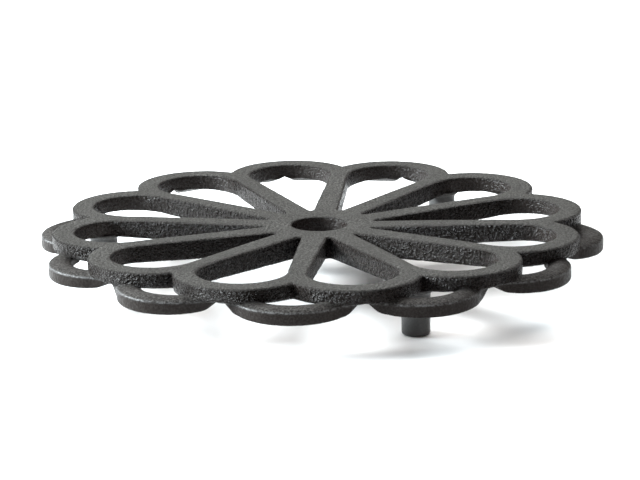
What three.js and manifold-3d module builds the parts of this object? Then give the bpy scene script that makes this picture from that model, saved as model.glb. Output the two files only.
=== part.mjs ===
// Cast-iron flower trivet on three peg feet, in millimetres, +Z up.
// A pierced twelve-petal grid carries the pot. Twelve lower petals hang under its rim, half a
// pitch round, so that each one shows in the notch between two petals of the grid.
// Origin: on the floor, on the hub's axis. A lower petal points along +X.
import * as THREE from 'three';
import { mergeVertices } from 'three/addons/utils/BufferGeometryUtils.js';
import Module from 'manifold-3d';

const wasm = await Module();
wasm.setup();

// Layout.
const petalCount = 12;
const pitch = (2 * Math.PI) / petalCount;
const halfPitch = pitch / 2;
const quarterTurn = Math.PI / 2;
const clearance = 0.35;             // gap left between pieces that meet
const spare = 5;                    // how far cutting shapes run past what they cut

// Grid: flat outside dishRadius and a shallow cone inside it. The underside is one cone, so the
// ribs deepen towards the hub.
const rimTop = 19.3;
const dishRadius = 62;
const dishDepth = 1.65;             // how far the top would sink at the axis
const undersideAtAxis = 9.8;
const undersideSlope = 0.0585;      // rise of the underside per millimetre outwards
const hubHoleRadius = 8.8;
const gridPetalCentre = 64.3;       // centre of each petal's round end, from the axis
const gridPetalRadius = 20.7;
const ribHalfWidth = 3.1;           // at the openings' round ends; the ribs widen to the hub
const openingTipRound = 0.7;        // rounding of an opening's narrow end
const openingTipCentre = 18.4;

// Lower petals: crescents that thin out inwards until they run out under the grid.
const lowerReach = 90;              // tip of each lower petal, from the axis
const lowerRadius = 19.5;
const lowerEyeRadius = 12.4;        // round inner edge, seen as a slit below the grid's notch
const lowerFillet = 13.3;           // hollow between two neighbours
const lowerRoot = 79;               // inner end of the crescent
const lowerTipTop = 15.3;
const lowerTipBottom = 10.6;
const lowerTopSlope = 0.1;          // fall of the top face per millimetre outwards
const lowerBottomSlope = 0.23;      // fall of the underside per millimetre outwards

// Arch between two lower petals, seen along the radius: it also nicks the grid's underside.
const archTop = 15.2;
const archTopHalfWidth = 2.2;
const archShoulder = [3.2, 11.2];   // control point of the flank: half width, height
const archFootHalfWidth = 6.2;
const archDepth = [70, 95];

// Feet: pegs under the rim, each with a spigot in a blind socket.
const footAzimuths = { foot_front_right: -60, foot_back_right: 60, foot_left: 180 };
const footOrbit = 70;
const footRadius = 4.4;
const footEdgeRound = 0.9;
const spigotRadius = 2.4;
const spigotLength = 2.2;

// Worked out from the above.
const gridReach = gridPetalCentre + gridPetalRadius;
const footTop = undersideAtAxis + undersideSlope * (footOrbit - footRadius) - clearance;
const openingRadius = gridPetalCentre * Math.sin(halfPitch) - ribHalfWidth;
const lowerCentre = lowerReach - lowerRadius;

// Fineness of the round shapes.
const arcSteps = 9;
const dishSegments = 48;
const skirtSegments = 96;
const roundSegments = 32;

// A three.js geometry as a solid that can be joined and cut.
function solidOf(geometry) {
  const bare = geometry.clone();
  bare.deleteAttribute('normal');
  bare.deleteAttribute('uv');
  const welded = mergeVertices(bare, 1e-4);
  const mesh = new wasm.Mesh({
    numProp: 3,
    vertProperties: new Float32Array(welded.attributes.position.array),
    triVerts: new Uint32Array(welded.index.array),
  });
  return new wasm.Manifold(mesh);
}

function geometryOf(solid) {
  const mesh = solid.getMesh();
  const geometry = new THREE.BufferGeometry();
  geometry.setAttribute('position', new THREE.BufferAttribute(mesh.vertProperties, 3));
  geometry.setIndex(new THREE.BufferAttribute(mesh.triVerts, 1));
  geometry.computeVertexNormals();
  return geometry;
}

// An outline raised from one height to another.
function slab(shape, bottom, top) {
  const options = { depth: top - bottom, bevelEnabled: false, curveSegments: arcSteps };
  return solidOf(new THREE.ExtrudeGeometry(shape, options).translate(0, 0, bottom));
}

// A profile of [radius, height] points turned about the axis. It runs anticlockwise, and starts
// and ends on the axis or closes on itself.
function turned(profile, segments) {
  const points = profile.map(([radius, height]) => new THREE.Vector2(radius, height));
  return solidOf(new THREE.LatheGeometry(points, segments).rotateX(quarterTurn));
}

function disc(radius, bottom, top, x = 0, y = 0) {
  const shape = new THREE.Shape();
  shape.absarc(x, y, radius, 0, 2 * Math.PI, false);
  return slab(shape, bottom, top);
}

// Solid of revolution between the grid's underside, lowered by a drop, and a given top.
function aboveUnderside(drop, topProfile) {
  const outside = gridReach + 2 * spare;
  const underside = [
    [0, undersideAtAxis - drop],
    [outside, undersideAtAxis + undersideSlope * outside - drop],
  ];
  return turned([...underside, [outside, rimTop], ...topProfile], dishSegments);
}

// Scalloped outline of the grid, grown by an offset. The arcs meet on the half-pitch lines.
function gridOutline(offset = 0) {
  const radius = gridPetalRadius + offset;
  const across = gridPetalCentre * Math.sin(halfPitch);
  const cusp = gridPetalCentre * Math.cos(halfPitch) + Math.sqrt(radius ** 2 - across ** 2);
  const sweep = Math.atan2(cusp * Math.sin(halfPitch), cusp * Math.cos(halfPitch) - gridPetalCentre);
  const outline = new THREE.Shape();
  for (let i = 0; i < petalCount; i += 1) {
    const azimuth = halfPitch + i * pitch;
    const x = gridPetalCentre * Math.cos(azimuth);
    const y = gridPetalCentre * Math.sin(azimuth);
    outline.absarc(x, y, radius, azimuth - sweep, azimuth + sweep, false);
  }
  return outline;
}

// Teardrop opening: its straight sides touch its round end and its rounded tip.
function opening(azimuth) {
  const length = gridPetalCentre - openingTipCentre;
  const sweep = quarterTurn + Math.asin((openingRadius - openingTipRound) / length);
  const wideX = gridPetalCentre * Math.cos(azimuth);
  const wideY = gridPetalCentre * Math.sin(azimuth);
  const tipX = openingTipCentre * Math.cos(azimuth);
  const tipY = openingTipCentre * Math.sin(azimuth);
  const tipStart = azimuth + sweep;
  const tipEnd = azimuth + 2 * Math.PI - sweep;
  const path = new THREE.Path();
  path.absarc(wideX, wideY, openingRadius, azimuth - sweep, azimuth + sweep, false);
  path.absarc(tipX, tipY, openingTipRound, tipStart, tipEnd, false);
  return path;
}

// Radial cutter with the arch's outline, pointing along the given azimuth.
function arch(azimuth) {
  const below = lowerTipBottom - 1;
  const [shoulderX, shoulderY] = archShoulder;
  const outline = new THREE.Shape();
  outline.moveTo(-archFootHalfWidth, below);
  outline.lineTo(archFootHalfWidth, below);
  outline.lineTo(archFootHalfWidth, lowerTipBottom);
  outline.quadraticCurveTo(shoulderX, shoulderY, archTopHalfWidth, archTop);
  outline.lineTo(-archTopHalfWidth, archTop);
  outline.quadraticCurveTo(-shoulderX, shoulderY, -archFootHalfWidth, lowerTipBottom);
  const [inner, outer] = archDepth;
  const options = { depth: outer - inner, bevelEnabled: false, curveSegments: arcSteps };
  const across = new THREE.Vector3(0, 1, 0);
  const up = new THREE.Vector3(0, 0, 1);
  const outwards = new THREE.Vector3(1, 0, 0);
  const geometry = new THREE.ExtrudeGeometry(outline, options);
  geometry.translate(0, 0, inner);
  geometry.applyMatrix4(new THREE.Matrix4().makeBasis(across, up, outwards));
  return solidOf(geometry.rotateZ(azimuth));
}

function makeGrid() {
  const outline = gridOutline();
  for (let i = 0; i < petalCount; i += 1) {
    outline.holes.push(opening(halfPitch + i * pitch));
  }
  const hubHole = new THREE.Path();
  hubHole.absarc(0, 0, hubHoleRadius, 0, 2 * Math.PI, false);
  outline.holes.push(hubHole);
  const dish = aboveUnderside(0, [[dishRadius, rimTop], [0, rimTop - dishDepth]]);
  let grid = slab(outline, 0, rimTop + spare).intersect(dish);
  for (let i = 0; i < petalCount; i += 1) {
    grid = grid.subtract(arch(halfPitch + i * pitch));
  }
  const socketTop = footTop + spigotLength + clearance;
  for (const degrees of Object.values(footAzimuths)) {
    const azimuth = THREE.MathUtils.degToRad(degrees);
    const x = footOrbit * Math.cos(azimuth);
    const y = footOrbit * Math.sin(azimuth);
    grid = grid.subtract(disc(spigotRadius + clearance, footTop, socketTop, x, y));
  }
  return geometryOf(grid);
}

// Plan outline of the lower petal on the +X axis: a round lobe running into a hollow on each side.
function lowerOutline() {
  const across = lowerCentre * Math.sin(halfPitch);
  const reach = Math.sqrt((lowerRadius + lowerFillet) ** 2 - across ** 2);
  const hollow = lowerCentre * Math.cos(halfPitch) + reach;
  const hollowX = hollow * Math.cos(halfPitch);
  const hollowY = hollow * Math.sin(halfPitch);
  const sweep = Math.atan2(hollowY, hollowX - lowerCentre);
  const outline = new THREE.Shape();
  const rootX = lowerRoot * Math.cos(halfPitch);
  const rootY = lowerRoot * Math.sin(halfPitch);
  outline.moveTo(rootX, -rootY);
  outline.absarc(hollowX, -hollowY, lowerFillet, Math.PI - halfPitch, Math.PI - sweep, true);
  outline.absarc(lowerCentre, 0, lowerRadius, -sweep, sweep, false);
  outline.absarc(hollowX, hollowY, lowerFillet, Math.PI + sweep, Math.PI + halfPitch, true);
  outline.lineTo(rootX, rootY);
  return outline;
}

function makeLowerPetal() {
  const inner = lowerRoot - spare;
  const outer = lowerReach + spare;
  const skirt = turned([
    [inner, lowerTipBottom + lowerBottomSlope * (lowerReach - inner)],
    [outer, lowerTipBottom + lowerBottomSlope * (lowerReach - outer)],
    [outer, lowerTipTop + lowerTopSlope * (lowerReach - outer)],
    [inner, lowerTipTop + lowerTopSlope * (lowerReach - inner)],
    [inner, lowerTipBottom + lowerBottomSlope * (lowerReach - inner)],
  ], skirtSegments);
  const seat = slab(gridOutline(clearance), 0, rimTop + spare)
    .intersect(aboveUnderside(clearance, [[0, rimTop]]));
  const eye = disc(lowerEyeRadius, 0, rimTop, lowerCentre);
  let petal = slab(lowerOutline(), 0, rimTop).intersect(skirt);
  for (const cutter of [seat, eye, arch(-halfPitch), arch(halfPitch)]) {
    petal = petal.subtract(cutter);
  }
  return geometryOf(petal);
}

function makeFoot() {
  const profile = [[0, 0]];
  const roundSteps = 4;
  for (let i = 0; i <= roundSteps; i += 1) {
    const angle = (i / roundSteps) * quarterTurn;
    const radius = footRadius - footEdgeRound * (1 - Math.sin(angle));
    profile.push([radius, footEdgeRound * (1 - Math.cos(angle))]);
  }
  profile.push([footRadius, footTop]);
  profile.push([spigotRadius, footTop]);
  profile.push([spigotRadius, footTop + spigotLength]);
  profile.push([0, footTop + spigotLength]);
  return geometryOf(turned(profile, roundSegments));
}

function castIron(color, roughness) {
  return new THREE.MeshStandardMaterial({ color, roughness, metalness: 0.5 });
}

const group = new THREE.Group();

const grid = new THREE.Mesh(makeGrid(), castIron(0x3a3834, 0.6));
grid.name = 'petal_grid';
group.add(grid);

const lowerPetalGeometry = makeLowerPetal();
for (let i = 0; i < petalCount; i += 1) {
  const petal = new THREE.Mesh(lowerPetalGeometry, castIron(0x2a2829, 0.5));
  petal.name = `lower_petal_${String(i + 1).padStart(2, '0')}`;
  petal.rotation.z = i * pitch;
  group.add(petal);
}

const footGeometry = makeFoot();
for (const [name, degrees] of Object.entries(footAzimuths)) {
  const azimuth = THREE.MathUtils.degToRad(degrees);
  const foot = new THREE.Mesh(footGeometry, castIron(0x33383b, 0.45));
  foot.name = name;
  foot.position.set(footOrbit * Math.cos(azimuth), footOrbit * Math.sin(azimuth), 0);
  group.add(foot);
}

export default group;
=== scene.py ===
"""Looks of the cast-iron flower trivet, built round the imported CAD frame.

Every piece is modelled here as a fine mesh: its shape is written as a signed distance in
millimetres, meshed, relaxed onto the exact surface, and roughened like a sand casting.
"""

import functools
import math

import bpy
import numpy as np
from mathutils import Matrix, Vector, noise


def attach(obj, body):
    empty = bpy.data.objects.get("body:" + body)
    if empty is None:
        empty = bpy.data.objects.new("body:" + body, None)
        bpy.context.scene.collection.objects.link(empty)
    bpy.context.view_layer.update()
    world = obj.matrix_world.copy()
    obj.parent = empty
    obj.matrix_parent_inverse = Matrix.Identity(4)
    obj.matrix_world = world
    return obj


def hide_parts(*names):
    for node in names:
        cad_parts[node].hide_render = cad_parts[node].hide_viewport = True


MM = 0.001

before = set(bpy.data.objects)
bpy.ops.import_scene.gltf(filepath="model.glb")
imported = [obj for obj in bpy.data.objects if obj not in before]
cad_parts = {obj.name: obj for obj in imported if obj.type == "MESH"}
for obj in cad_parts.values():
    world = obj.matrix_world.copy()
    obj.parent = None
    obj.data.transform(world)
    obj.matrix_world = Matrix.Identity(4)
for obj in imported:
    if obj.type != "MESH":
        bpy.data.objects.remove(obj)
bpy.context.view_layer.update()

# ---------------------------------------------------------------- shape, in mm as in the CAD
PETALS = 12
PITCH = 2 * math.pi / PETALS
HALF_PITCH = PITCH / 2

RIM_TOP = 19.3
DISH_RADIUS = 62.0
DISH_DEPTH = 1.65
DISH_BLEND = 0.5
UNDERSIDE_AT_AXIS = 9.8
UNDERSIDE_SLOPE = 0.0585
HUB_HOLE_RADIUS = 8.8
GRID_PETAL_CENTRE = 64.3
GRID_PETAL_RADIUS = 20.7
GRID_FILLED_RADIUS = GRID_PETAL_CENTRE + 6.0
RIB_HALF_WIDTH = 3.1
OPENING_TIP_ROUND = 0.7
OPENING_TIP_CENTRE = 18.4
OPENING_RADIUS = GRID_PETAL_CENTRE * math.sin(HALF_PITCH) - RIB_HALF_WIDTH
NOTCH_ROUND = 0.7
GRID_EDGE_TOP = 0.7
GRID_EDGE_BOTTOM = 0.4
WALL_DRAFT = 0.02
OPENING_DRAFT = 0.05

LOWER_REACH = 90.0
LOWER_RADIUS = 19.5
LOWER_CENTRE = LOWER_REACH - LOWER_RADIUS
LOWER_EYE_RADIUS = 12.3
LOWER_HOLLOW_RADIUS = 13.3
LOWER_ROOT = 78.0
LOWER_CREST = 15.5
LOWER_CREST_RADIUS = 15.8
LOWER_CROWN = 0.084  # how fast the top falls away from its crest
LOWER_CROWN_SPAN = (-4.5, 4.0)  # distances from the crest between which it falls
LOWER_TIP_BOTTOM = 10.1
LOWER_HOLLOW_INWARDS = 0.12  # extra rise of the underside, away from the outline
LOWER_HOLLOW_LIMIT = 30.0
LOWER_EDGE_TOP = 0.4
LOWER_EYE_EDGE = 0.35
LOWER_EDGE_BOTTOM = 0.5
FILLET = 0.5  # between a lower petal and the grid
FILLET_REACH = 0.8 * FILLET  # how far it may stand out from the petal
FILLET_GAP = 0.05
SKIN_DEPTH = 0.45  # how far a lower petal reaches into the grid
NEIGHBOUR_GAP = 0.15  # half of the gap between two lower petals

# Rise of a lower petal's underside per millimetre inwards. The rear petals rise faster, so
# that nothing hangs below the far walls.
BOTTOM_SLOPE = 0.13
REAR_BOTTOM_SLOPE = 0.3
REAR_PETALS = range(2, 7)

# Arch between two lower petals, seen along the radius.
ARCH_TOP = 14.7
ARCH_WIDTH = 4.0
ARCH_POWER = 1.9
ARCH_BLEND = 1.0
ARCH_START = 72.0  # radius from which it nicks the grid
ARCH_STEEPNESS = 0.7  # turns a difference in height into about a distance
CLEAR_OF_ARCH = 9.0  # any height well above it

FOOT_AZIMUTHS = {"foot_front_right": -60, "foot_back_right": 60, "foot_left": 180}
FOOT_ORBIT = 70.0
FOOT_RADIUS = 4.4
FOOT_DRAFT = 0.01
FOOT_DRAFT_FROM = 10.0  # height at which the foot has its full radius
FOOT_EDGE = 0.9
FOOT_PLATE = 13.55  # height of the plate that the foot flares into
FOOT_FLARE = 1.6
FOOT_FLARE_RADIUS = 5.4
FOOT_TOP = 14.4

# ---------------------------------------------------------------- meshing, in mm
GRID_STEP = 0.62
LOWER_STEP = 0.38
FOOT_STEP = 0.3
GRID_BOX = ((-86.5, -86.5, 8.5), (86.5, 86.5, 20.5))
LOWER_BOX = ((73.5, -22.5, 9.5), (91.5, 22.5, 19.0))
FOOT_BOX = ((-6, -6, -1), (6, 6, 15.5))
SIDES = 4  # of each face
GRADIENT_WIDTH = 0.02
LEAST_STEEP = 0.05  # lowest squared slope that a step is worked out from
TINY = 1e-9
FIRST_SETTLE_ROUNDS = 3
SETTLE_ROUNDS = 2
RELAX_ROUNDS = 4
RELAX_SHARE = 0.5

# ---------------------------------------------------------------- cast surface, in mm
WALL_TO_LEVEL = (0.35, 0.9)  # height of the normal, from a wall to a level face
INWARD_SPAN = (0.0, 0.5)  # how far the normal leans to the axis, from rough to smooth
SMOOTH_INSIDE = 0.85
GRAIN_SIZE = 1.1
COARSE_GRAIN_SIZE = 2.3
COARSE_GRAIN_SHARE = 0.5
SWELL_SIZE = 9.0
SWELL_HEIGHT = 0.04
HIGHLIGHT_AND_WEAR_SPAN = (0.2, 0.55)  # distance from a crease, from painted highlight and polish to plain

# Height of the grain on walls and on level faces.
GRID_GRAIN = (0.11, 0.006)
LOWER_GRAIN = (0.02, 0.012)
FOOT_GRAIN = (0.012, 0.005)

SEED_SHIFT = (17.3, 5.9, 11.1)
GRID_SEED = 1
LOWER_SEED = 11
FOOT_SEED = 61
SEEDS_EACH = 3


def smooth_min(a, b, k):
    h = np.clip(k - np.abs(a - b), 0, None) / k
    return np.minimum(a, b) - h * h * k / 4


def smooth_max(a, b, k):
    return -smooth_min(-a, -b, k)


def round_meet(a, b, radius):
    """Where both a and b hold, with the edge between them rounded."""
    a, b = a + radius, b + radius
    outside = np.hypot(np.maximum(a, 0), np.maximum(b, 0))
    return np.minimum(np.maximum(a, b), 0) + outside - radius


def along_and_across(x, y, first_axis):
    """Position along and across the nearest of twelve axes, folded so that across is positive."""
    turn = np.mod(np.arctan2(y, x) - first_axis + HALF_PITCH, PITCH) - HALF_PITCH
    reach = np.hypot(x, y)
    return reach * np.cos(turn), reach * np.abs(np.sin(turn))


def distance_to_neighbour(along, across, centre):
    """Distance to the same point on the neighbouring axis."""
    return np.hypot(along - centre * math.cos(PITCH), across - centre * math.sin(PITCH))


def teardrop(along, across):
    """Distance to an opening of the grid, in plan."""
    length = GRID_PETAL_CENTRE - OPENING_TIP_CENTRE
    lean = (OPENING_TIP_ROUND - OPENING_RADIUS) / length
    side = math.sqrt(1 - lean * lean)
    u = along - OPENING_TIP_CENTRE
    place = across * -lean + u * side
    tip = np.hypot(u, across) - OPENING_TIP_ROUND
    wide = np.hypot(u - length, across) - OPENING_RADIUS
    straight = across * side + u * lean - OPENING_TIP_ROUND
    return np.where(place < 0, tip, np.where(place > side * length, wide, straight))


def grid_outline(along, across):
    """Distance to the ring of scallops, in plan, filled in up to the axis."""
    own = np.hypot(along - GRID_PETAL_CENTRE, across) - GRID_PETAL_RADIUS
    next_one = distance_to_neighbour(along, across, GRID_PETAL_CENTRE) - GRID_PETAL_RADIUS
    filled = np.hypot(along, across) - GRID_FILLED_RADIUS
    return np.minimum(smooth_min(own, next_one, NOTCH_ROUND), filled)


def underside(reach):
    return UNDERSIDE_AT_AXIS + UNDERSIDE_SLOPE * reach


def arch_height(across):
    """Height of the arch between two lower petals, seen along the radius."""
    fall = 1 - np.exp(-((across / ARCH_WIDTH) ** ARCH_POWER))
    return ARCH_TOP - (ARCH_TOP - LOWER_TIP_BOTTOM) * fall


def grid_distance(x, y, z):
    along, across = along_and_across(x, y, HALF_PITCH)
    reach = np.hypot(x, y)
    dish = RIM_TOP - DISH_DEPTH * (1 - reach / DISH_RADIUS)
    top = -smooth_max(RIM_TOP - dish, np.zeros_like(dish), DISH_BLEND) + RIM_TOP
    over = z - top
    under = underside(reach) - z
    depth = RIM_TOP - z
    outline = grid_outline(along, across) + WALL_DRAFT * depth
    plan = np.maximum(outline, -teardrop(along, across) + OPENING_DRAFT * depth)
    plan = np.maximum(plan, HUB_HOLE_RADIUS - reach + WALL_DRAFT * depth)
    edge = np.where(over > under, GRID_EDGE_TOP, GRID_EDGE_BOTTOM)
    body = round_meet(plan, np.maximum(over, under), edge)
    above_arch = np.where(reach > ARCH_START, z - arch_height(across), CLEAR_OF_ARCH)
    return smooth_max(body, -(above_arch * ARCH_STEEPNESS), ARCH_BLEND)


def lower_outline(along, across):
    """Distance to the ring of lobes, in plan, with a round hollow between each two."""
    own = np.hypot(along - LOWER_CENTRE, across) - LOWER_RADIUS
    half_gap = LOWER_CENTRE * math.sin(HALF_PITCH)
    hollow = LOWER_CENTRE * math.cos(HALF_PITCH) + math.sqrt(
        (LOWER_RADIUS + LOWER_HOLLOW_RADIUS) ** 2 - half_gap**2
    )
    hollow_x, hollow_y = hollow * math.cos(HALF_PITCH), hollow * math.sin(HALF_PITCH)
    in_hollow = LOWER_HOLLOW_RADIUS - np.hypot(along - hollow_x, across - hollow_y)
    between = across * (hollow_x - LOWER_CENTRE) > (along - LOWER_CENTRE) * hollow_y
    return np.where(between, np.minimum(own, in_hollow), own)


def lower_distance(x, y, z, bottom_slope):
    """The ring of lower petals, as it would be without the grid."""
    along, across = along_and_across(x, y, 0.0)
    reach = np.hypot(x, y)
    outline = lower_outline(along, across)
    eye = LOWER_EYE_RADIUS - np.hypot(along - LOWER_CENTRE, across)
    plan = np.maximum(np.maximum(outline, eye), LOWER_ROOT - reach)
    off_crest = np.clip(outline + LOWER_RADIUS - LOWER_CREST_RADIUS, *LOWER_CROWN_SPAN)
    over = z - (LOWER_CREST - LOWER_CROWN * off_crest**2)
    hollow = LOWER_HOLLOW_INWARDS * np.clip(-outline, 0, LOWER_HOLLOW_LIMIT)
    rise = bottom_slope * (LOWER_REACH - reach) + hollow
    under = LOWER_TIP_BOTTOM + rise - z
    edge = np.where(over > under, LOWER_EDGE_TOP, LOWER_EDGE_BOTTOM)
    edge = np.where(eye > outline, LOWER_EYE_EDGE, edge)
    return round_meet(plan, np.maximum(over, under), edge)


def lower_petal_distance(x, y, z, bottom_slope):
    """The lower petal on the +X axis, filleted to the grid, with only its skin inside the grid."""
    petal = lower_distance(x, y, z, bottom_slope)
    grid = grid_distance(x, y, z)
    joined = smooth_min(petal, grid + FILLET_GAP, FILLET)
    turn = np.abs(np.arctan2(y, x))
    beside = np.hypot(x, y) * np.sin(HALF_PITCH - turn)
    flank = (z - arch_height(np.abs(beside))) * ARCH_STEEPNESS
    joined = smooth_max(joined, -flank, ARCH_BLEND)
    joined = np.maximum(joined, petal - FILLET_REACH)
    joined = np.maximum(joined, -(grid + SKIN_DEPTH))
    return np.maximum(joined, -beside + NEIGHBOUR_GAP)


def foot_distance(x, y, z):
    reach = np.hypot(x, y)
    side = reach - FOOT_RADIUS + FOOT_DRAFT * (FOOT_DRAFT_FROM - z)
    shaft = round_meet(side, -z, FOOT_EDGE)
    return np.maximum(smooth_min(shaft, FOOT_PLATE - z, FOOT_FLARE), z - FOOT_TOP)


def cut_foot_distance(x, y, z):
    """The foot, with its flare cut off all round."""
    return np.maximum(foot_distance(x, y, z), np.hypot(x, y) - FOOT_FLARE_RADIUS)


CORNERS = [(i, j, k) for i in (0, 1) for j in (0, 1) for k in (0, 1)]
EDGES = [
    (a, b)
    for a in CORNERS
    for b in CORNERS
    if sum(b) - sum(a) == 1 and all(p <= q for p, q in zip(a, b))
]


def surface_net(distance, low, high, step):
    """Quads on the zero surface of a distance function, in a box."""
    axes = [np.arange(lo, hi + step, step) for lo, hi in zip(low, high)]
    field = distance(*np.meshgrid(*axes, indexing="ij")).astype(np.float64)
    inside = field < 0
    ni, nj, nk = (length - 1 for length in inside.shape)
    count = sum(
        inside[i : ni + i, j : nj + j, k : nk + k].astype(np.int8) for i, j, k in CORNERS
    )
    active = (count > 0) & (count < len(CORNERS))
    number = np.full(active.shape, -1, np.int64)
    number[active] = np.arange(active.sum())
    cells = np.argwhere(active)
    total = np.zeros(cells.shape)
    crossings = np.zeros(len(cells))
    for a, b in EDGES:
        at_a = field[tuple((cells + a).T)]
        at_b = field[tuple((cells + b).T)]
        cross = (at_a < 0) != (at_b < 0)
        t = np.where(cross, at_a / np.where(cross, at_a - at_b, 1), 0)
        place = np.array(a) + t[:, None] * (np.array(b) - np.array(a))
        total += np.where(cross[:, None], place, 0)
        crossings += cross
    points = (cells + total / crossings[:, None]) * step + np.array(low)
    faces = []
    for axis in range(3):
        one, two = (axis + 1) % 3, (axis + 2) % 3
        here = np.moveaxis(inside, axis, 0)
        changed = np.argwhere(np.moveaxis(here[:-1] != here[1:], 0, axis))
        starts_inside = inside[tuple(changed.T)]
        unit_one, unit_two = np.eye(3, dtype=int)[one], np.eye(3, dtype=int)[two]
        corners = [changed - unit_one - unit_two, changed - unit_two, changed, changed - unit_one]
        quad = np.stack([number[tuple(c.T)] for c in corners], 1)
        faces.append(np.where(starts_inside[:, None], quad, quad[:, ::-1]))
    return points, np.concatenate(faces)


def gradient(distance, points):
    slopes = []
    for axis in range(3):
        shift = np.zeros(3)
        shift[axis] = GRADIENT_WIDTH
        ahead, behind = points + shift, points - shift
        slopes.append((distance(*ahead.T) - distance(*behind.T)) / (2 * GRADIENT_WIDTH))
    return np.stack(slopes, 1)


def settle(distance, points, longest, rounds):
    """Moves points onto the zero surface."""
    for _ in range(rounds):
        slope = gradient(distance, points)
        steep = np.maximum((slope**2).sum(1), LEAST_STEEP)
        move = -slope * (distance(*points.T) / steep)[:, None]
        length = np.linalg.norm(move, axis=1)
        points = points + move * np.minimum(1, longest / np.maximum(length, TINY))[:, None]
    return points


def relax(points, faces):
    """Moves each point towards the middle of its neighbours."""
    ends = np.concatenate([faces[:, [i, (i + 1) % SIDES]] for i in range(SIDES)])
    total = np.zeros(points.shape)
    for axis in range(3):
        total[:, axis] = np.bincount(ends[:, 0], points[ends[:, 1], axis], len(points))
        total[:, axis] += np.bincount(ends[:, 1], points[ends[:, 0], axis], len(points))
    count = np.bincount(ends.ravel(), minlength=len(points))
    return points + RELAX_SHARE * (total / count[:, None] - points)


def skin(distance, box, step):
    """An even mesh of quads on the zero surface."""
    points, faces = surface_net(distance, *box, step)
    points = settle(distance, points, step, FIRST_SETTLE_ROUNDS)
    for _ in range(RELAX_ROUNDS):
        points = settle(distance, relax(points, faces), step, SETTLE_ROUNDS)
    return points, faces


def smooth_step(low, high, value):
    t = np.clip((value - low) / (high - low), 0, 1)
    return t * t * (3 - 2 * t)


def noise_at(points, size, seed):
    """Gradient noise from about -1 to 1, with features of about the given size in mm."""
    shift = Vector([seed * part for part in SEED_SHIFT])
    return np.array([noise.noise(Vector(p) / size + shift) for p in points])


def cast_surface(distance, points, seed, wall_grain, level_grain):
    """Sand-cast relief: grain on walls, a finer skin on faces that look up or down.

    Walls that look towards the axis have less of it. Also gives how far each point is on a
    wall, and how sandy it is there.
    """
    slope = gradient(distance, points)
    normal = slope / np.maximum(np.linalg.norm(slope, axis=1), TINY)[:, None]
    wall = 1 - smooth_step(*WALL_TO_LEVEL, np.abs(normal[:, 2]))
    grain = noise_at(points, GRAIN_SIZE, seed)
    grain = grain + COARSE_GRAIN_SHARE * noise_at(points, COARSE_GRAIN_SIZE, seed + 1)
    swell = noise_at(points, SWELL_SIZE, seed + 2)
    reach = np.maximum(np.hypot(points[:, 0], points[:, 1]), TINY)
    outward = (normal[:, :2] * points[:, :2]).sum(1) / reach
    sandy = 1 - SMOOTH_INSIDE * smooth_step(*INWARD_SPAN, -outward) * wall
    height = grain * sandy * (level_grain + (wall_grain - level_grain) * wall)
    height = height + SWELL_HEIGHT * swell * wall
    return points + normal * height[:, None], wall, sandy


def crease_highlight_and_wear(points):
    """How much the outer top edge of a lower petal gets a painted highlight, and polish."""
    along, across = along_and_across(points[:, 0], points[:, 1], 0.0)
    edge_height = LOWER_CREST - LOWER_CROWN * (LOWER_RADIUS - LOWER_CREST_RADIUS) ** 2
    off_edge = np.hypot(lower_outline(along, across), points[:, 2] - edge_height)
    return 1 - smooth_step(*HIGHLIGHT_AND_WEAR_SPAN, off_edge)


def piece(node, points, faces, finish, material, highlight_and_wear=0.0):
    """The mesh that stands for a CAD node. Its finish, and the painted highlight with polish along
    a crease, are stored on its points.
    """
    name = f"{node}_skin"
    mesh = bpy.data.meshes.new(name)
    mesh.vertices.add(len(points))
    mesh.vertices.foreach_set("co", (points * MM).astype(np.float32).ravel())
    mesh.loops.add(faces.size)
    mesh.loops.foreach_set("vertex_index", faces.astype(np.int32).ravel())
    mesh.polygons.add(len(faces))
    mesh.polygons.foreach_set("loop_start", np.arange(0, faces.size, SIDES, dtype=np.int32))
    mesh.update(calc_edges=True)
    mesh.validate()
    mesh.shade_smooth()
    for attribute, value in zip(("wall", "sandy", "highlight_and_wear"), (*finish, highlight_and_wear)):
        layer = mesh.attributes.new(attribute, "FLOAT", "POINT")
        layer.data.foreach_set("value", np.full(len(points), value, np.float32))
    mesh.materials.append(material)
    made = bpy.data.objects.new(name, mesh)
    bpy.context.scene.collection.objects.link(made)
    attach(made, "root")
    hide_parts(node)


# ---------------------------------------------------------------- materials
IRON_IOR = 1.5
SPECKLE_SCALE = 1700.0
PATCH_SCALE = 70.0
GRAIN_SCALE = 1150.0
NOISE_ROUGHNESS = 0.55
GRAIN_NOISE_ROUGHNESS = 0.6

# Parts of a noise's range of 0 to 1 that are stretched out.
SPECKLE_SPAN = (0.4, 0.7)
PATCH_SPAN = (0.3, 0.7)
GRAIN_SPAN = (0.35, 0.65)
PAINTED_HIGHLIGHT_SPAN = (0.4, 0.6)

SPECKLE_COLOR = (0.16, 0.155, 0.145, 1.0)
SPECKLE_ON_LEVEL_AND_WALL = (0.5, 0.12)
SPECKLE_AMOUNT = (0.0, 0.7)
PATCH_AMOUNT = (0.6, 1.3)
PAINTED_HIGHLIGHT_AMOUNT = (0.1, 1.0)
# Painted highlight: a pale colour along a lower petal's outer top edge. The lower roughness there
# is real polish.
PAINTED_HIGHLIGHT_COLOR = (0.1, 0.1, 0.1, 1.0)
POLISHED_GLOSS = (0.0, 0.2)
PATCH_ROUGHNESS = (-0.05, 0.05)
GRAIN_ROUGHNESS = (0.12, -0.12)
FINE_BUMP_SHARE = 0.35
WHOLE = (0.0, 1.0)

COLOR_MIX_INPUTS = (0, 6, 7)  # sockets of a Mix node for colours: its factor, A and B
COLOR_MIX_OUTPUT = 2


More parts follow.
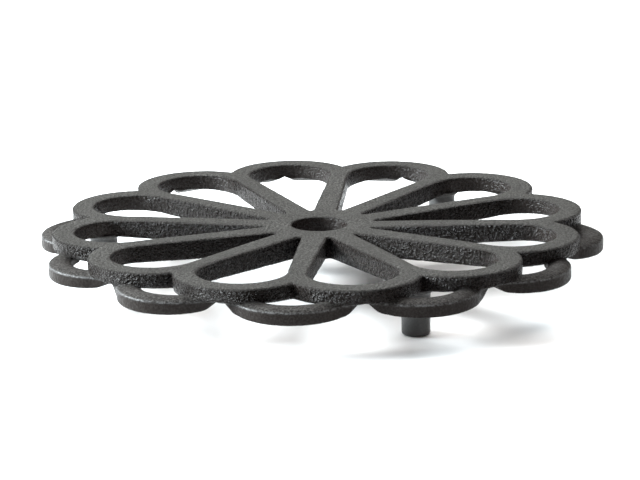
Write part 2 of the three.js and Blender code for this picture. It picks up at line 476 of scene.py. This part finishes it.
def cast_iron(name, top_color, wall_color, top_rough, wall_rough, top_bump, wall_bump, shine):
    """Cast iron whose colour, roughness and bump differ between level faces and walls, with a
    painted highlight and polish along creases.
    """
    material = bpy.data.materials.new(name)
    material.use_nodes = True
    nodes, links = material.node_tree.nodes, material.node_tree.links
    shader = nodes["Principled BSDF"]
    shader.inputs["Metallic"].default_value = 0.0
    shader.inputs["IOR"].default_value = IRON_IOR
    place = nodes.new("ShaderNodeTexCoord")

    def attribute_node(attribute):
        node = nodes.new("ShaderNodeAttribute")
        node.attribute_name = attribute
        return node.outputs["Fac"]

    def noise_node(scale, detail, rough=NOISE_ROUGHNESS):
        node = nodes.new("ShaderNodeTexNoise")
        node.inputs["Scale"].default_value = scale
        node.inputs["Detail"].default_value = detail
        node.inputs["Roughness"].default_value = rough
        links.new(place.outputs["Object"], node.inputs["Vector"])
        return node.outputs["Fac"]

    def fill(socket, value):
        if isinstance(value, (float, tuple)):
            socket.default_value = value
        else:
            links.new(value, socket)

    def math_node(kind, a, b):
        node = nodes.new("ShaderNodeMath")
        node.operation = kind
        for socket, value in zip(node.inputs, (a, b)):
            fill(socket, value)
        return node.outputs[0]

    def map_range(value, span, to_span):
        node = nodes.new("ShaderNodeMapRange")
        for key, number in zip(("From Min", "From Max", "To Min", "To Max"), (*span, *to_span)):
            node.inputs[key].default_value = number
        links.new(value, node.inputs["Value"])
        return node.outputs[0]

    def mix_color(factor, a, b):
        node = nodes.new("ShaderNodeMix")
        node.data_type = "RGBA"
        for number, value in zip(COLOR_MIX_INPUTS, (factor, a, b)):
            fill(node.inputs[number], value)
        return node.outputs[COLOR_MIX_OUTPUT]

    wall = attribute_node("wall")
    sandy = attribute_node("sandy")
    highlight_and_wear = attribute_node("highlight_and_wear")
    speckle = noise_node(SPECKLE_SCALE, detail=2.0)
    patch = noise_node(PATCH_SCALE, detail=3.0)
    grain = noise_node(GRAIN_SCALE, detail=2.0, rough=GRAIN_NOISE_ROUGHNESS)

    base = mix_color(wall, (*top_color, 1.0), (*wall_color, 1.0))
    lighter = mix_color(map_range(wall, WHOLE, SPECKLE_ON_LEVEL_AND_WALL), base, SPECKLE_COLOR)
    amount = map_range(speckle, SPECKLE_SPAN, SPECKLE_AMOUNT)
    amount = math_node("MULTIPLY", amount, map_range(patch, PATCH_SPAN, PATCH_AMOUNT))
    mottled = mix_color(amount, base, lighter)
    # Painted highlight along the crease: the colour is lightened towards a pale grey and broken up
    # by the grain.
    painted_highlight = math_node("MULTIPLY", highlight_and_wear, map_range(grain, PAINTED_HIGHLIGHT_SPAN, PAINTED_HIGHLIGHT_AMOUNT))
    links.new(mix_color(painted_highlight, mottled, PAINTED_HIGHLIGHT_COLOR), shader.inputs["Base Color"])

    rough = map_range(wall, WHOLE, (top_rough, wall_rough))
    rough = math_node("ADD", rough, map_range(patch, PATCH_SPAN, PATCH_ROUGHNESS))
    rough = math_node("ADD", rough, map_range(grain, GRAIN_SPAN, GRAIN_ROUGHNESS))
    rough = math_node("SUBTRACT", rough, map_range(highlight_and_wear, WHOLE, POLISHED_GLOSS))
    links.new(rough, shader.inputs["Roughness"])
    shader.inputs["Specular IOR Level"].default_value = shine

    height = math_node("MULTIPLY", grain, map_range(wall, WHOLE, (top_bump, wall_bump)))
    height = math_node("MULTIPLY", height, sandy)
    fine = math_node("MULTIPLY", speckle, FINE_BUMP_SHARE * top_bump)
    bump = nodes.new("ShaderNodeBump")
    bump.inputs["Strength"].default_value = 1.0
    bump.inputs["Distance"].default_value = MM
    links.new(math_node("ADD", height, fine), bump.inputs["Height"])
    links.new(bump.outputs["Normal"], shader.inputs["Normal"])
    return material


GRID_IRON = cast_iron(
    "grid_iron",
    top_color=(0.014, 0.0132, 0.0117),
    wall_color=(0.0105, 0.0076, 0.0066),
    top_rough=0.72,
    wall_rough=0.3,
    top_bump=0.6,
    wall_bump=4.2,
    shine=0.165,
)
LOWER_IRON = cast_iron(
    "lower_iron",
    top_color=(0.009, 0.0076, 0.0072),
    wall_color=(0.0092, 0.0068, 0.006),
    top_rough=0.55,
    wall_rough=0.4,
    top_bump=0.2,
    wall_bump=0.16,
    shine=0.07,
)
FOOT_IRON = cast_iron(
    "foot_iron",
    top_color=(0.04, 0.04, 0.04),
    wall_color=(0.042, 0.042, 0.042),
    top_rough=0.42,
    wall_rough=0.42,
    top_bump=0.04,
    wall_bump=0.08,
    shine=0.2,
)

# ---------------------------------------------------------------- pieces
grid_points, grid_faces = skin(grid_distance, GRID_BOX, GRID_STEP)
grid_points, *grid_finish = cast_surface(grid_distance, grid_points, GRID_SEED, *GRID_GRAIN)
piece("petal_grid", grid_points, grid_faces, grid_finish, GRID_IRON)

for order in range(PETALS):
    number = order + 1
    bottom_slope = REAR_BOTTOM_SLOPE if number in REAR_PETALS else BOTTOM_SLOPE
    petal_shape = functools.partial(lower_petal_distance, bottom_slope=bottom_slope)
    petal_points, petal_faces = skin(petal_shape, LOWER_BOX, LOWER_STEP)
    rough_points, *petal_finish = cast_surface(
        petal_shape, petal_points, LOWER_SEED + SEEDS_EACH * order, *LOWER_GRAIN
    )
    rotation = np.array(Matrix.Rotation(order * PITCH, 3, "Z"))
    # Each lower petal gets a painted highlight, with polish, along its outer top edge.
    piece(
        f"lower_petal_{number:02d}", rough_points @ rotation.T, petal_faces, petal_finish,
        LOWER_IRON, crease_highlight_and_wear(petal_points),
    )

foot_points, foot_faces = skin(cut_foot_distance, FOOT_BOX, FOOT_STEP)
for order, (foot_name, foot_azimuth) in enumerate(FOOT_AZIMUTHS.items()):
    rough_points, *foot_finish = cast_surface(
        foot_distance, foot_points, FOOT_SEED + SEEDS_EACH * order, *FOOT_GRAIN
    )
    turn = math.radians(foot_azimuth)
    centre = np.array([math.cos(turn), math.sin(turn), 0]) * FOOT_ORBIT
    piece(foot_name, rough_points + centre, foot_faces, foot_finish, FOOT_IRON)

# ---------------------------------------------------------------- floor
FLOOR_HALF = 3.0
FLOOR_COLOR = (0.86, 0.86, 0.86, 1.0)
FLOOR_ROUGHNESS = 0.9

floor_mesh = bpy.data.meshes.new("floor")
floor_mesh.from_pydata(
    [(x * FLOOR_HALF, y * FLOOR_HALF, 0) for x, y in ((-1, -1), (1, -1), (1, 1), (-1, 1))],
    [],
    [(0, 1, 2, 3)],
)
floor = bpy.data.objects.new("floor", floor_mesh)
bpy.context.scene.collection.objects.link(floor)
floor_paint = bpy.data.materials.new("floor_paint")
floor_paint.use_nodes = True
floor_shader = floor_paint.node_tree.nodes["Principled BSDF"]
floor_shader.inputs["Base Color"].default_value = FLOOR_COLOR
floor_shader.inputs["Roughness"].default_value = FLOOR_ROUGHNESS
floor_mesh.materials.append(floor_paint)

# ---------------------------------------------------------------- light
CAMERA_AZIMUTH = -83.65
WORLD_COLOR = (1.0, 0.95, 0.93, 1.0)
WORLD_STRENGTH = 0.05


def direction(azimuth, elevation):
    """Unit vector from the origin, for angles in degrees."""
    a, e = math.radians(azimuth), math.radians(elevation)
    return Vector((math.cos(e) * math.cos(a), math.cos(e) * math.sin(a), math.sin(e)))


def softbox(name, turn, elevation, distance, size, power, color):
    """Area light that faces the origin, turned round from the camera by some degrees."""
    light = bpy.data.lights.new(name, "AREA")
    light.shape = "RECTANGLE"
    light.size, light.size_y = size
    light.energy = power
    light.color = color
    lamp = bpy.data.objects.new(name, light)
    away = direction(CAMERA_AZIMUTH + turn, elevation)
    lamp.location = away * distance
    lamp.rotation_mode = "QUATERNION"
    lamp.rotation_quaternion = away.to_track_quat("Z", "Y")
    bpy.context.scene.collection.objects.link(lamp)


softbox(
    "overhead", turn=180, elevation=58, distance=1.3, size=(1.6, 1.1), power=28,
    color=(1.0, 0.985, 0.97),
)
softbox(
    "back", turn=180, elevation=15, distance=1.5, size=(2.2, 0.5), power=1.5,
    color=(1.0, 0.99, 0.93),
)
softbox(
    "left", turn=-95, elevation=25, distance=1.2, size=(0.9, 0.35), power=84,
    color=(0.9, 0.97, 1.0),
)
softbox(
    "fill", turn=50, elevation=15, distance=1.5, size=(1.2, 0.8), power=5,
    color=(1.0, 0.9, 0.86),
)

world = bpy.data.worlds.new("world")
world.use_nodes = True
background = world.node_tree.nodes["Background"]
background.inputs["Color"].default_value = WORLD_COLOR
background.inputs["Strength"].default_value = WORLD_STRENGTH
bpy.context.scene.world = world
bpy.context.scene.view_settings.view_transform = "Standard"

# ---------------------------------------------------------------- camera
CAMERA_ELEVATION = 14.327
CAMERA_DISTANCE = 0.884
CAMERA_ROLL = -1.080
CAMERA_PITCH = -0.4258
LENS = 156.14
SENSOR_WIDTH = 36
NEAREST = 0.05
FARTHEST = 20

away = direction(CAMERA_AZIMUTH, CAMERA_ELEVATION)
ahead = -away
side = ahead.cross(Vector((0, 0, 1))).normalized()
ahead = (ahead + math.tan(math.radians(CAMERA_PITCH)) * side.cross(ahead)).normalized()
side = ahead.cross(Vector((0, 0, 1))).normalized()
upward = side.cross(ahead)
roll = math.radians(CAMERA_ROLL)
right = math.cos(roll) * side + math.sin(roll) * upward
top = -math.sin(roll) * side + math.cos(roll) * upward
camera_data = bpy.data.cameras.new("camera")
camera_data.lens = LENS
camera_data.sensor_width = SENSOR_WIDTH
camera_data.clip_start, camera_data.clip_end = NEAREST, FARTHEST
camera = bpy.data.objects.new("camera", camera_data)
stand = Matrix.Translation(Vector((0, 0, RIM_TOP * MM)) + away * CAMERA_DISTANCE)
camera.matrix_world = stand @ Matrix((right, top, -ahead)).transposed().to_4x4()
bpy.context.scene.collection.objects.link(camera)
bpy.context.scene.camera = camera
